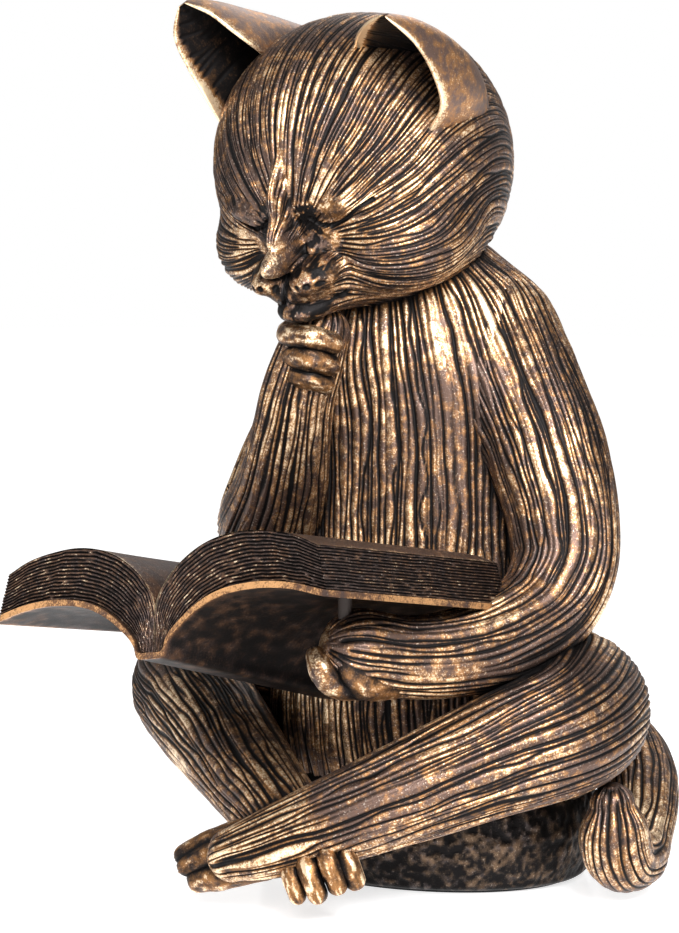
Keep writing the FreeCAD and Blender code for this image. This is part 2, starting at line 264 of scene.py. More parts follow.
# the head: a frame of its own, turned and nodding towards the book
low, high = (np.array(v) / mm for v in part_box("head"))
head = {
    "centre": np.array([(low[0] + high[0]) / 2, high[1] - 34, high[2] - 34.5]),
    "turn": 7, "nod": 25, "tilt": 2,
    "ball": 34,  # radius of the plain ball that neighbours are measured from
    "softness": 2.5,  # how softly the forms below run together
    # soft forms: centre and radii along the head's left, forward and up
    "forms": [((0, 0, 0), (34.6, 34.6, 34.2)), ((13.8, 12, -10.5), (19, 21.5, 14.5)),
              ((-13.8, 12, -10.5), (19, 21.5, 14.5)), ((0, 19, -12), (16, 19.5, 14)),
              ((0, 24, -14), (11, 19.2, 6.5)), ((0, 23, -18.5), (9.5, 20.5, 5)),
              ((5.2, 27, -11), (7, 17.6, 5)), ((-5.2, 27, -11), (7, 17.6, 5)),
              ((12.2, 22, 2.4), (8.4, 11.2, 4.2)), ((-12.2, 22, 2.4), (8.4, 11.2, 4.2)),
              ((0, 22, 4.5), (2.7, 18, 11.5)), ((0, 26, -1), (2.7, 17.4, 7)),
              ((0, 31, -5.6), (3.4, 17.2, 4.4))],
    # dents: centre, radius and height
    "dents": [((4.8, 36, -0.5), 3.2, -1.4), ((8.4, 37.5, -5.5), 3, -0.7), ((2.4, 46, -9.4), 1.0, -1.2)],
    # whisker pits, to the left and up on the face
    "pits": [(2.9, -8.9), (4.7, -8.5), (8.5, -9.4), (2.2, -11.6), (4.9, -11), (7.1, -11.1), (9.1, -11.5)],
    # creases, as points to the left and up on the face, then width and depth
    "creases": [([(5.8, 0.8), (7.8, -0.8), (10.2, -1.4), (12.6, -0.9), (14.8, 0.2), (17.1, 1.7),
                  (19.9, 2.6)], 0.34, 0.9),
                ([(0, -10), (0.1, -12.5), (0.4, -15), (1.8, -16.6), (4, -17.5), (7, -18),
                  (9.5, -17.6)], 0.42, 0.9),
                ([(3.4, -5), (3.9, -7), (3.2, -8.4), (1.6, -9.6), (0, -10)], 0.4, 0.6)],
    # places without fur: centre, size, painted shade and gilding
    "bareSpots": [((0, 45, -3), 4.2, 0, 0.4), ((0, 47, -7), 4.0, 0.1, 0.25),
                  ((3.6, 41, -2.5), 4.2, 0.3, 0.1), ((4, 43, -5.5), 3.6, 0.25, 0.1),
                  ((4, 38, 1), 3.4, 0.45, 0), ((5.2, 35.5, 2.6), 3.6, 0.7, 0), ((6.5, 37, -3), 5, 0.5, 0),
                  ((9.6, 34.2, -4.6), 3, 0.3, 0), ((8, 38.5, -7), 4.4, 0.5, 0),
                  ((12, 34.2, 2.4), 4.4, 0.3, 0), ((5.8, 44, -10.5), 6.4, 0.2, 0.3),
                  ((3, 41.5, -15), 5, 0.4, 0), ((7, 39.5, -15.5), 4.6, 0.4, 0),
                  ((0, 42, -18.5), 5, 0.5, 0), ((5, 40, -19.5), 4.8, 0.5, 0),
                  ((9.5, 38, -10), 3.6, 0.35, 0)],
    "columns": 800,
    "fur": {"seed": 5, "firstLines": 26, "pitch": 0.84, "wave": 1.0, "waveLength": 26, "stroke": 30,
            "width": 0.24, "depth": 0.65},
}


def headAxes():
    turn, nod, tilt = (math.radians(head[k]) for k in ("turn", "nod", "tilt"))
    left = np.array([1.0, 0, 0])
    forward = np.array([0, -math.cos(nod), -math.sin(nod)])
    up = np.array([0, -math.sin(nod), math.cos(nod)])
    spin = np.array([[math.cos(turn), -math.sin(turn), 0], [math.sin(turn), math.cos(turn), 0], [0, 0, 1]])
    left, forward, up = spin @ left, spin @ forward, spin @ up
    across = math.cos(tilt) * left + math.sin(tilt) * up
    return np.array([across, forward, math.cos(tilt) * up - math.sin(tilt) * left])


axes = headAxes()


def headRadius(directions):  # how far out the head reaches in each direction from its centre
    out, softness = None, head["softness"]
    for centre, radii in head["forms"]:
        d, o = directions / np.array(radii, float), -np.array(centre, float) / radii
        a, b, c = (d * d).sum(-1), (d * o).sum(-1), (o * o).sum() - 1
        inside = b * b - a * c
        reach = np.where(inside > 0, (-b + np.sqrt(np.maximum(inside, 0))) / a, 0)
        if out is None:
            out = reach
        else:
            h = np.clip(1 - np.abs(out - reach) / softness, 0, 1)
            out = np.maximum(out, reach) + h * h * softness / 4
    return out


def nearHead(points):
    return np.sqrt(((points - head["centre"]) ** 2).sum(-1)) - head["ball"]


def toPolyline(x, z, line):  # distance, in the plane of the face, to a bent line
    best = np.full(x.shape, 1e9)
    for (x0, z0), (x1, z1) in zip(line[:-1], line[1:]):
        dx, dz = x1 - x0, z1 - z0
        t = np.clip(((x - x0) * dx + (z - z0) * dz) / (dx * dx + dz * dz), 0, 1)
        best = np.minimum(best, np.hypot(x - x0 - t * dx, z - z0 - t * dz))
    return best


def buildHead():
    noseAxis = unit(np.array([0, 47.0, -7.5]))
    upAxis = unit(np.array([0, 7.5, 47.0]))
    columns = head["columns"]
    beta = np.arange(columns) / columns * 2 * math.pi
    rings = [np.linspace(0.25, 44, 116), np.linspace(44, 68, 56)[1:], np.linspace(68, 179.2, 94)[1:]]
    angles = np.radians(np.concatenate(rings))  # from the nose to the nape, close together on the face
    sideways = np.cos(beta)[:, None] * upAxis + np.sin(beta)[:, None] * np.array([1.0, 0, 0])
    directions = np.cos(angles)[:, None, None] * noseAxis + np.sin(angles)[:, None, None] * sideways[None]
    bend = math.radians(65) * smooth(50, 176, np.degrees(angles))[:, None]  # the fur runs down to the nape
    y, z = directions[..., 1], directions[..., 2]
    directions = np.stack([directions[..., 0], y * np.cos(bend) - z * np.sin(bend),
                           y * np.sin(bend) + z * np.cos(bend)], -1)
    radius = headRadius(directions)
    points = directions * radius[..., None]
    x, y, z = points[..., 0], points[..., 1], points[..., 2]
    side, front = np.abs(x), smooth(16, 24, y)
    push, shade = np.zeros_like(x), np.zeros_like(x)
    for (cx, cy, cz), size, height in head["dents"]:
        spread = np.exp(-((side - cx) ** 2 + (y - cy) ** 2 + (z - cz) ** 2) / size**2)
        push += height * spread
        shade += max(-height, 0) * 0.35 * spread
    for line, width, depth in head["creases"]:
        crease = front * np.exp(-((toPolyline(side, z, line) / width) ** 2))
        push -= depth * crease
        shade += 0.9 * crease
    for cx, cz in head["pits"]:
        pit = front * np.exp(-(((side - cx) ** 2 + (z - cz) ** 2) / 0.62**2))
        push -= 0.9 * pit
        shade += pit
    bare, accent, spotShade = np.zeros_like(x), np.zeros_like(x), np.zeros_like(x)
    for (cx, cy, cz), size, spotShadeAmount, gilding in head["bareSpots"]:
        away = np.sqrt((side - cx) ** 2 + (y - cy) ** 2 + (z - cz) ** 2)
        spot = 1 - smooth(size * 0.6, size * 1.1, away)
        bare = np.maximum(bare, spot)
        accent = np.maximum(accent, gilding * spot)
        spotShade = np.maximum(spotShade, spotShadeAmount * spot)
    table = np.random.default_rng(8).random((80, 80))
    blots = (0.55 * softNoise(table, 0.8 * x + 40, 0.8 * z + 40)
             + 0.45 * softNoise(table.T, 2.1 * x + 99, 2.1 * z + 99))
    # painted shade on the bare spots (sockets, sides of the nose, mouth, chin), mottled by the blots
    shade += 1.3 * spotShade * smooth(0.25, 0.6, blots)
    push -= 0.25 * bare * (blots - 0.5) * (accent < 0.5)
    groove, valley = (part * (1 - bare) for part in furGrooves(points, head["fur"]))
    points = points + directions * push[..., None]
    points -= gridNormals(points) * (valley * head["fur"]["depth"])[..., None]
    world = head["centre"] + points @ axes
    # painted shade where the head meets the body and the fist
    shade += paintedCornerShade(nearTorso(world)) + paintedCornerShade(nearLimb(world, spheres["rightArm"][24:]))
    relief = np.clip(1 - 0.6 * groove - 0.4 * valley, 0, 1) * np.clip(1 - shade, 0.04, 1)
    skins = []
    for name, first, last in (("catFace", 0, 118), ("catBrow", 113, 173), ("catSkull", 168, 264)):
        sink = np.zeros(last - first)  # the bands tuck under each other by a hair
        if first:
            sink[:2] = 0.5, 0.03
        if last < len(world):
            sink[-2:] = 0.03, 0.5
        band = world[first:last] + unit(head["centre"] - world[first:last]) * sink[:, None, None]
        skins.append(skinObject(name, band, relief[first:last], accent[first:last]))
    return skins


def buildTorso():
    rows = np.array(torso["slices"], float)
    places = np.linspace(0, 1, torso["rings"])
    table = np.column_stack([rows[:, 0], rows[:, 2], 0 * rows[:, 0], rows[:, 1], rows[:, 3]])
    z, width, _, centre, depth = throughPoints(table, places).T
    angle = np.arange(torso["columns"]) / torso["columns"] * 2 * math.pi
    points = np.stack([width[:, None] * np.sin(angle), centre[:, None] - depth[:, None] * np.cos(angle),
                       z[:, None] + 0 * angle], -1)
    normals = gridNormals(points)
    # painted shade where the body meets the head, the arms, the legs and the tail
    shade = paintedCornerShade(nearHead(points))
    shoulder = armBlend(points)
    for name, reach in (("leftArm", shoulder), ("rightArm", shoulder), ("leftLeg", 1.5), ("rightLeg", 1.5),
                        ("tail", 3)):
        distances = nearLimb(points, spheres[name])
        points = fillet(points, normals, distances, reach)
        shade = np.maximum(shade, paintedCornerShade(distances) * (belowShoulder(points) if "Arm" in name else 1))
    groove, valley = furGrooves(points, torso["fur"])
    points = points - gridNormals(points) * (valley * torso["fur"]["depth"])[..., None]
    return skinObject("catBody", points, (1 - 0.6 * groove - 0.4 * valley) * (1 - shade))


def tube(stations, columns, rings):  # a round skin along a string of spheres, with rounded ends
    stations = np.array(stations, float)
    length = np.linalg.norm(np.diff(stations[:, :3], axis=0), axis=1).sum()
    first, last = stations[0, 3], stations[-1, 3]
    ends = np.sin(np.linspace(0, math.pi / 2, max(rings // 8, 7)))
    between = np.linspace(0, length, rings)[1:-1]
    s = np.concatenate([-first * ends[::-1] * 0.999, between, length + last * ends * 0.999])
    core = throughPoints(stations, s / length)
    fine = np.linspace(0, 1, 400)
    heading = unit(np.gradient(throughPoints(stations, fine)[:, :3], axis=0))
    heading = unit(np.stack([np.interp(np.clip(s / length, 0, 1), fine, heading[:, k]) for k in range(3)], 1))
    centre = core[:, :3] + heading * (np.minimum(s, 0) + np.maximum(s - length, 0))[:, None]
    over = np.where(s < 0, -s / first, np.where(s > length, (s - length) / last, 0))
    radius = core[:, 3] * np.sqrt(np.clip(1 - over**2, 0.0004, 1))
    side = np.zeros((len(s), 3))
    across = unit(np.cross(heading[0], np.array([0.2, 0.3, 1.0])))
    for k in range(len(s)):
        across = unit(across - heading[k] * (across @ heading[k]))
        side[k] = across
    other = np.cross(heading, side)
    angle = np.arange(columns) / columns * 2 * math.pi
    return centre[:, None] + radius[:, None, None] * (np.cos(angle)[None, :, None] * side[:, None]
                                                      + np.sin(angle)[None, :, None] * other[:, None])


def join(pieces):  # the first piece takes in the others
    bpy.ops.object.select_all(action="DESELECT")
    for piece in pieces:
        piece.select_set(True)
    bpy.context.view_layer.objects.active = pieces[0]
    bpy.ops.object.join()
    return pieces[0]


digitGrid = {"columns": 72, "rings": 44}


def buildDigit(label, k, strings, limb):
    points = tube(strings[k][0], digitGrid["columns"], digitGrid["rings"])
    # painted shade where a digit meets its paw and where digits touch each other
    shade = paintedCornerShade(nearLimb(points, limb)) * 0.6
    for j, (_, other) in enumerate(strings):
        if j != k:
            shade = np.maximum(shade, 1.2 * paintedCornerShade(nearLimb(points, other)))
    grain = softNoise(np.random.default_rng(k).random((40, 24)), np.arange(points.shape[0])[:, None] / 4,
                      np.arange(digitGrid["columns"])[None, :] / 3)
    points = points + gridNormals(points) * (0.25 * (grain - 0.5))[..., None]
    relief = np.clip((0.62 + 0.36 * grain) * (1 - shade), 0, 1)
    return skinObject(label + "Digit", points, relief, 0.5 * relief)


def buildLimb(name, label, columns, rings, fur, neighbours, reachAt):
    points = tube(limbs[name], columns, rings)
    distances = nearTorso(points)
    points = fillet(points, gridNormals(points), distances, reachAt(points))
    # painted shade where the limb meets the body and its neighbours
    shade = paintedCornerShade(distances) * (belowShoulder(points) if "Arm" in name else 1)
    for other in neighbours:
        shade = np.maximum(shade, paintedCornerShade(nearLimb(points, other)))
    groove, valley = furGrooves(points, fur)
    points = points - gridNormals(points) * (valley * fur["depth"])[..., None]
    parts = [skinObject(label, points, (1 - 0.6 * groove - 0.4 * valley) * (1 - shade))]
    strings = [(line, throughPoints(line, np.linspace(0, 1, 16))) for line in digits.get(name, [])]
    parts += [buildDigit(label, k, strings, spheres[name]) for k in range(len(strings))]
    return join(parts)


headSkins = buildHead()
body = buildTorso()
limbFur = {"firstLines": 20, "pitch": 1.4, "wave": 1.0, "waveLength": 24, "stroke": 30,
           "width": 0.34, "depth": 0.75}
leftArm = buildLimb("leftArm", "catLeftArm", 340, 170, {**limbFur, "seed": 21}, [spheres["leftLeg"]],
                    armBlend)
rightArm = buildLimb("rightArm", "catRightArm", 340, 160, {**limbFur, "seed": 22}, [], armBlend)
leftLeg = buildLimb("leftLeg", "catLeftLeg", 400, 150, {**limbFur, "seed": 23},
                    [spheres["leftArm"], spheres["rightLeg"][20:]], lambda points: 1.5)
rightLeg = buildLimb("rightLeg", "catRightLeg", 400, 150, {**limbFur, "seed": 24}, [spheres["leftLeg"][20:]],
                     lambda points: 1.5)
tail = buildLimb("tail", "catTail", 240, 150, {**limbFur, "seed": 25, "firstLines": 12, "pitch": 1.7},
                 [spheres["leftLeg"]], lambda points: 3)
print("cat skins carved")

# ears: stations from base to tip of the inner edge, the outer edge and the ridge of the back
ears = {
    "left": {
        "inner": [(10.5, -35.5, 189.5), (15.5, -40.5, 193), (21.5, -45, 195), (26, -47.5, 196),
                  (30, -49.5, 196.5)],
        "outer": [(28, -32.5, 170.5), (35, -35, 178), (36, -39, 184), (35, -44, 190.5), (31, -50, 196.5)],
        "back": [(27.5, -10.5, 177.5), (30, -16.5, 184.5), (32.5, -27.5, 191), (32, -38.5, 195),
                 (30, -48, 197)],
        "seed": 31,
    },
    "right": {
        "inner": [(-13, -37, 189.5), (-13, -42, 192), (-15.5, -46.5, 195.5), (-19.5, -50, 199.5),
                  (-24.5, -53, 202)],
        "outer": [(-24, -41, 175), (-24.5, -45.5, 180.5), (-26.5, -49.5, 187.5), (-27.5, -53, 195),
                  (-26, -53, 201.5)],
        "back": [(-20, -19.5, 196.5), (-22, -26.5, 198.5), (-23, -35, 200), (-24, -43.5, 201.5),
                 (-25.5, -51.5, 202.5)],
        "seed": 32,
    },
}


def buildEar(name, ear):
    places = np.linspace(-0.12, 0.985, 90)  # the ear starts a little inside the head
    curves = {}
    for key in ("inner", "outer", "back"):
        line = throughPoints(ear[key], places)
        start = throughPoints(ear[key], np.array([0.0, 0.04]))
        line[places < 0] += (start[0] - start[1]) * (-places[places < 0] / 0.04)[:, None]
        curves[key] = line
    turn = np.linspace(0, 2 * math.pi, 260, endpoint=False)  # half a turn behind the sheet, half in front
    v = -np.cos(turn)
    back = np.where(turn < math.pi, 1, -1)
    across = v[None, :, None]
    middle = (curves["inner"] + curves["outer"]) / 2
    sheet = curves["inner"][:, None] * (1 - across) / 2 + curves["outer"][:, None] * (1 + across) / 2
    sheet = sheet + (curves["back"] - middle)[:, None] * (1 - v**2)[None, :, None]
    dv = np.stack([np.gradient(sheet[:, :, k], axis=1) for k in range(3)], -1) * back[None, :, None]
    normals = unit(np.cross(dv, np.gradient(sheet, axis=0)))
    if np.sum(normals * (curves["back"] - middle)[:, None]) < 0:
        normals = -normals
    taper = np.sqrt(np.clip(1 - places, 0, 1) * 6).clip(0, 1)
    thickness = ((1.35 - 0.55 * np.clip(places, 0, 1)) * taper)[:, None, None]
    inside = (back < 0)[None, :] + 0 * places[:, None]
    rng = np.random.default_rng(ear["seed"])
    along = places[:, None] * 24
    waver = softNoise(rng.random((12, 12)), along / 5, v[None, :] * 3 + 6)
    row = along / 1.3 + 1.2 * (1 - v[None, :] ** 2) + waver
    cut = np.exp(-(((row - np.round(row)) / 0.2) ** 2))
    cut *= smooth(0.35, 0.6, softNoise(rng.random((80, 30)), np.round(row), v[None, :] * 5 + 9))
    rim = np.exp(-(((1 - np.abs(v[None, :])) / 0.055) ** 2)) * np.ones_like(along)
    cut = inside * cut * (1 - rim)
    outward = (back * np.abs(np.sin(turn)) ** 0.45)[None, :, None]
    points = sheet + normals * (outward * thickness)
    points = points + normals * (0.25 * cut)[..., None]
    # painted shade where the ear meets the head
    shade = paintedCornerShade(nearHead(points)) * 0.35
    relief = np.where(inside > 0, 0.42 + 0.2 * rim - 0.4 * cut, 0.86)
    relief = np.clip((relief + 0.6 * rim) * (1 - shade * (1 - 0.7 * rim)), 0, 1)
    return skinObject(name, points, relief, rim)


leftEar = buildEar("catLeftEar", ears["left"])
rightEar = buildEar("catRightEar", ears["right"])
print("ears done")

# the open book, in a frame of its own: across, along the spine to the back, and up
book = {
    "origin": (0, -90, 59.5), "pitch": 11, "roll": 8, "length": 64,
    "underside": [(3.6, 0), (4.6, 2.4), (9, 6.6), (17.5, 11.2), (28, 12.8), (38, 12.2), (47.6, 10)],
    "pageTop": [(0.12, 1.2), (0.12, 6), (0.2, 11), (0.9, 13.2), (3.5, 17), (8, 20.8), (14, 23.8),
                (22, 25.4), (31, 25), (39, 23.4), (44.8, 21)],
    "cover": 1.4,
    "leaves": 14,
}


def bookPoint(x, y, z):
    back = np.clip(y / 60, 0, 1)
    z = z + back * (3.2 * smooth(0, 1, np.abs(x) / 46) - 3.6 * (1 - smooth(0, 1, np.abs(x) / 30)))
    pitch, roll = math.radians(book["pitch"]), math.radians(book["roll"])
    x, z = x * math.cos(roll) - z * math.sin(roll), x * math.sin(roll) + z * math.cos(roll)
    y, z = y * math.cos(pitch) + z * math.sin(pitch), -y * math.sin(pitch) + z * math.cos(pitch)
    return np.stack([x, y, z], -1) + book["origin"]


def curve2(points, places):
    rows = np.array([(x, z, 0) for x, z in points], float)
    return throughPoints(rows, places)[:, :2]


def boxSkin(name, counts, place, value):  # a closed box of grids, bent into place
    sides = []
    grids = [np.linspace(0, 1, n + 1) for n in counts]
    for axis in range(3):
        a, b = [k for k in range(3) if k != axis]
        first, second = np.meshgrid(grids[a], grids[b], indexing="ij")
        for end in (0, 1):
            u = [None] * 3
            u[a], u[b], u[axis] = first, second, np.full_like(first, end)
            flip = (end == 1) == (axis == 1)
            sides.append((u, first.shape, flip, axis, end))
    verts, faces, relief, accent, offset = [], [], [], [], 0
    for u, (rows, columns), flip, axis, end in sides:
        points = place(u[0], u[1], u[2], axis, end)
        light, gold = value(u[0], u[1], u[2], axis, end)
        verts.append(points.reshape(-1, 3))
        relief.append(light.ravel())
        accent.append(gold.ravel())
        index = np.arange(rows * columns).reshape(rows, columns) + offset
        quads = np.stack([index[:-1, :-1], index[1:, :-1], index[1:, 1:], index[:-1, 1:]], -1).reshape(-1, 4)
        faces.append(quads[:, ::-1] if flip else quads)
        offset += rows * columns
    verts, faces = np.concatenate(verts), np.concatenate(faces)
    mesh = bpy.data.meshes.new(name)
    mesh.from_pydata((verts * mm).tolist(), [], faces.tolist())
    writeValues(mesh, "relief", np.concatenate(relief))
    writeValues(mesh, "bare", np.concatenate(accent))
    piece = bpy.data.objects.new(name, mesh)
    bpy.context.collection.objects.link(piece)
    bpy.ops.object.select_all(action="DESELECT")
    piece.select_set(True)
    bpy.context.view_layer.objects.active = piece
    bpy.ops.object.mode_set(mode="EDIT")
    bpy.ops.mesh.select_all(action="SELECT")
    bpy.ops.mesh.remove_doubles(threshold=0.00002)
    bpy.ops.mesh.normals_make_consistent(inside=False)
    bpy.ops.object.mode_set(mode="OBJECT")
    bpy.ops.object.shade_smooth_by_angle(angle=math.radians(40))
    return piece


def buildPages(name, side, seed):
    table = np.random.default_rng(seed).random((40, 60))

    def leafLine(s, h, y):
        waver = softNoise(table, s * 26, y * 16 + 5) - 0.5
        row = h * book["leaves"] + 0.35 * waver
        own = softNoise(table, np.round(row) * 3 + 0.5, s * 30 + y * 34)
        return np.exp(-(((row - np.round(row)) / 0.22) ** 2)) * smooth(0.05, 0.3, own)

    def place(s, y, h, axis, end):
        flat = s.ravel()
        low = curve2([(x, z + book["cover"]) for x, z in book["underside"]], flat).reshape(s.shape + (2,))
        high = curve2(book["pageTop"], flat).reshape(s.shape + (2,))
        section = low + (high - low) * h[..., None]
        carve = 0.45 * leafLine(s, h, y) if axis in (0, 1) else 0 * s
        x, z, along = section[..., 0], section[..., 1], 0.5 + y * (book["length"] - 1)
        if axis == 1:
            along = along + carve * (1 - 2 * end)
        if axis == 0 and end == 1:
            x = x - carve
        return bookPoint(side * x, along, z)

    def value(s, y, h, axis, end):
        if axis == 2:
            edge = np.minimum(np.minimum(y, 1 - y) * 60, (1 - s) * 46)
            return 0.62 + 0.3 * np.exp(-edge / 0.8), 0.5 * np.exp(-edge / 0.8)
        line = leafLine(s, h, y)
        glint = softNoise(table, h * 40, s * 50 + y * 59)
        return (0.1 + 0.68 * (1 - line)) * (0.6 + 0.5 * glint), 0.3 * (1 - line) * smooth(0.6, 0.9, glint)

    return boxSkin(name, (110, 90, 88), place, value)


def buildCover():
    table = np.random.default_rng(3).random((60, 60))

    def place(s, y, h, axis, end):
        side = np.where(s < 0.5, -1, 1)
        t = np.abs(s - 0.5) * 2
        arch = curve2([(0, -0.4)] + book["underside"], t.ravel()).reshape(s.shape + (2,))
        x, z = arch[..., 0], arch[..., 1] + h * book["cover"]
        return bookPoint(side * x, -0.9 + y * (book["length"] + 1.8), z)

    def value(s, y, h, axis, end):
        grain = softNoise(table, s * 58, y * 30)
        if axis == 2:
            edge = np.minimum(np.minimum(y, 1 - y) * 66, np.minimum(s, 1 - s) * 100)
            return 0.34 + 0.28 * grain + 0.5 * np.exp(-edge / 0.7), 0.8 * np.exp(-edge / 0.7)
        return 0.8 + 0.2 * grain, 0.85 + 0 * s

    return boxSkin("bookCover", (220, 60, 4), place, value)


leftPages = buildPages("bookLeftPages", -1, 41)
rightPages = buildPages("bookRightPages", 1, 42)
cover = buildCover()
print("book done")


# slices of the seat: z, y of the centre, half width, half depth
seatSlices = [(0.95, 5, 39.6, 31.6), (1.6, 5, 40.6, 32.6), (6, 5, 42.2, 34.6), (12, 5, 43, 36),
              (18, 5, 42.4, 36), (24, 5, 40.6, 34.4), (27, 5, 38, 32)]
feltPad = {"halfWidth": 0.037, "halfDepth": 0.029, "thickness": 0.001, "centre": 0.005}


def buildSeat():
    rows = np.array(seatSlices)
    z = np.linspace(rows[0, 0], rows[-1, 0], 60)
    centre, width, depth = (np.interp(z, rows[:, 0], rows[:, k]) for k in (1, 2, 3))
    angle = np.arange(420) / 420 * 2 * math.pi
    points = np.stack([width[:, None] * np.sin(angle), centre[:, None] - depth[:, None] * np.cos(angle),
                       z[:, None] + 0 * angle], -1)
    table = np.random.default_rng(51).random((60, 90))
    dents = softNoise(table, z[:, None] / 2.2, angle[None, :] / (2 * math.pi) * 90) - 0.5
    fine = softNoise(table[::-1], z[:, None] / 0.9, angle[None, :] / (2 * math.pi) * 270) - 0.5
    rough = (0.7 * dents + 0.3 * fine) * smooth(1.2, 3, z)[:, None]
    points = points + gridNormals(points) * rough[..., None]
    relief = np.clip(0.48 + 0.35 * dents + 0.5 * fine, 0, 1)
    return skinObject("catSeat", points, relief)


seat = buildSeat()
bpy.ops.object.select_all(action="DESELECT")
bpy.ops.mesh.primitive_cylinder_add(vertices=160, radius=1, depth=feltPad["thickness"],
                                    location=(0, feltPad["centre"], feltPad["thickness"] / 2))
felt = bpy.context.object
felt.name = felt.data.name = "feltPad"
felt.scale = (feltPad["halfWidth"], feltPad["halfDepth"], 1)
bpy.ops.object.transform_apply(location=True, rotation=True, scale=True)
print("seat and felt done")


class Wire:
    def __init__(self, tree, socket=None):
        self.tree, self.socket = tree, socket

    def node(self, kind, settings=None, inputs=None, outlet=0):
        made = self.tree.nodes.new("ShaderNode" + kind)
        for name, value in (settings or {}).items():
            if name == "stops":
                ramp = made.color_ramp
                while len(ramp.elements) < len(value):
                    ramp.elements.new(0.5)
                for element, (place, colour) in zip(ramp.elements, value):
                    element.position, element.color = place, colour
            else:
                setattr(made, name, value)
        for name, value in (inputs or {}).items():
            self.feed(made.inputs[name], value)
        return Wire(self.tree, made.outputs[outlet]) if made.outputs else None

    def feed(self, socket, value):
        if isinstance(value, Wire):
            self.tree.links.new(value.socket, socket)
        else:
            socket.default_value = value

    def maths(self, operation, first, second):
        return self.node("Math", {"operation": operation}, {0: first, 1: second})

    def __add__(self, other):
        return self.maths("ADD", self, other)

    def __radd__(self, other):
        return self.maths("ADD", other, self)

    def __sub__(self, other):
        return self.maths("SUBTRACT", self, other)

    def __rsub__(self, other):
        return self.maths("SUBTRACT", other, self)

    def __mul__(self, other):
        return self.maths("MULTIPLY", self, other)

    def __rmul__(self, other):
        return self.maths("MULTIPLY", other, self)

    def step(self, low, high):  # 0 below low, 1 above high, smooth between
        return self.node("MapRange", {"interpolation_type": "SMOOTHSTEP"},
                         {0: self, 1: low, 2: high, 3: 0.0, 4: 1.0})

    def mix(self, first, second):  # blends two colours by this value
        return self.node("Mix", {"data_type": "RGBA"}, {0: self, 6: first, 7: second}, outlet=2)


def startMaterial(name):
    material = bpy.data.materials.new(name)
    material.use_nodes = True
    tree = material.node_tree
    tree.nodes.clear()
    return material, Wire(tree)


def finishMaterial(wire, inputs):
    shader = wire.node("BsdfPrincipled", {}, inputs)
    wire.node("OutputMaterial", {}, {"Surface": shader})


def noise(wire, place, scale, detail, roughness):
    return wire.node("TexNoise", {}, {"Vector": place, "Scale": scale, "Detail": detail,
                                      "Roughness": roughness})


def bronze(name, look):  # dark wash in the hollows, brown and amber above, gold brushed on the ridges
    material, wire = startMaterial(name)
    place = wire.node("TexCoord", outlet=3)
    relief = wire.node("Attribute", {"attribute_name": "relief"}, outlet=2)
    accent = wire.node("Attribute", {"attribute_name": "bare"}, outlet=2)
    patches = noise(wire, place, look["patchScale"], 3.0, 0.6)
    mottle = noise(wire, place, 380.0, 4.0, 0.65)
    speckle = noise(wire, place, 2400.0, 2.0, 0.6)
    ridge = (relief + (mottle - 0.5) * 0.3 + (speckle - 0.5) * 0.25).step(look["ridgeFrom"], look["ridgeTo"])
    worn = patches + (mottle - 0.5) * 0.7 + (speckle - 0.5) * 0.7 + accent * 0.35
    goldHere = worn.step(look["goldFrom"], look["goldTo"])
    gold = ridge.step(0.7, 1.0) * goldHere * look["gold"]
    warm = (patches * 0.45 + mottle * 0.55 + accent * 0.12).step(0.44, 0.6)
    colour = ridge.mix(look["groove"], warm.mix(look["brown"], look["amber"]))
    colour = gold.mix(colour, look["goldColour"])
    # cream specks on the ridges: dust, and painted glints where the specks catch the light
    dustAndGlint = speckle.step(0.60, 0.72) * ridge * look["dustAndGlintAmount"]
    colour = dustAndGlint.mix(colour, look["dustAndGlint"])
    height = relief * 0.2 + mottle * 0.4 + speckle * 0.4
    bump = wire.node("Bump", {}, {"Strength": look["bump"], "Distance": 0.0004, "Height": height})
    rough = 0.44 - 0.12 * gold + 0.2 * (mottle - 0.5) + 0.12 * (1.0 - ridge)
    finishMaterial(wire, {"Base Color": colour, "Metallic": 0.85, "Roughness": rough, "Normal": bump})
    return material


common = {"patchScale": 42.0, "ridgeFrom": 0.38, "ridgeTo": 0.92, "goldFrom": 0.5, "goldTo": 0.78,
          "gold": 0.85, "groove": (0.006, 0.005, 0.005, 1), "brown": (0.10, 0.062, 0.048, 1),
          "amber": (0.36, 0.17, 0.06, 1), "goldColour": (0.92, 0.74, 0.50, 1),
          "dustAndGlint": (0.85, 0.76, 0.66, 1), "dustAndGlintAmount": 0.3, "bump": 0.55}
finishes = {
    "fur": common,
    "ear": {**common, "brown": (0.15, 0.095, 0.075, 1), "goldFrom": 0.6, "goldTo": 0.85,
            "dustAndGlintAmount": 0.12, "bump": 0.3},
    "page": {**common, "ridgeFrom": 0.3, "brown": (0.10, 0.065, 0.055, 1), "amber": (0.16, 0.085, 0.05, 1),
             "goldFrom": 0.56, "goldTo": 0.8, "dustAndGlintAmount": 0.35, "bump": 0.45},
    "cover": {**common, "brown": (0.09, 0.058, 0.05, 1), "amber": (0.17, 0.085, 0.045, 1), "goldFrom": 0.66,
              "goldTo": 0.95, "goldColour": (0.75, 0.40, 0.17, 1), "dustAndGlintAmount": 0.08, "bump": 0.35},
    "seat": {**common, "brown": (0.10, 0.08, 0.078, 1), "amber": (0.16, 0.10, 0.06, 1), "goldFrom": 0.75,
             "goldTo": 1.0, "dustAndGlintAmount": 0.25, "bump": 0.7},
}
bronzes = {name: bronze(name + "Bronze", look) for name, look in finishes.items()}

feltMaterial, wire = startMaterial("feltMaterial")
place = wire.node("TexCoord", outlet=3)
fibres = noise(wire, place, 1800.0, 5.0, 0.7)
bump = wire.node("Bump", {}, {"Strength": 0.8, "Distance": 0.0004, "Height": fibres})
felting = fibres.mix((0.01, 0.011, 0.012, 1), (0.05, 0.052, 0.055, 1))
finishMaterial(wire, {"Base Color": felting, "Roughness": 0.95, "Normal": bump})

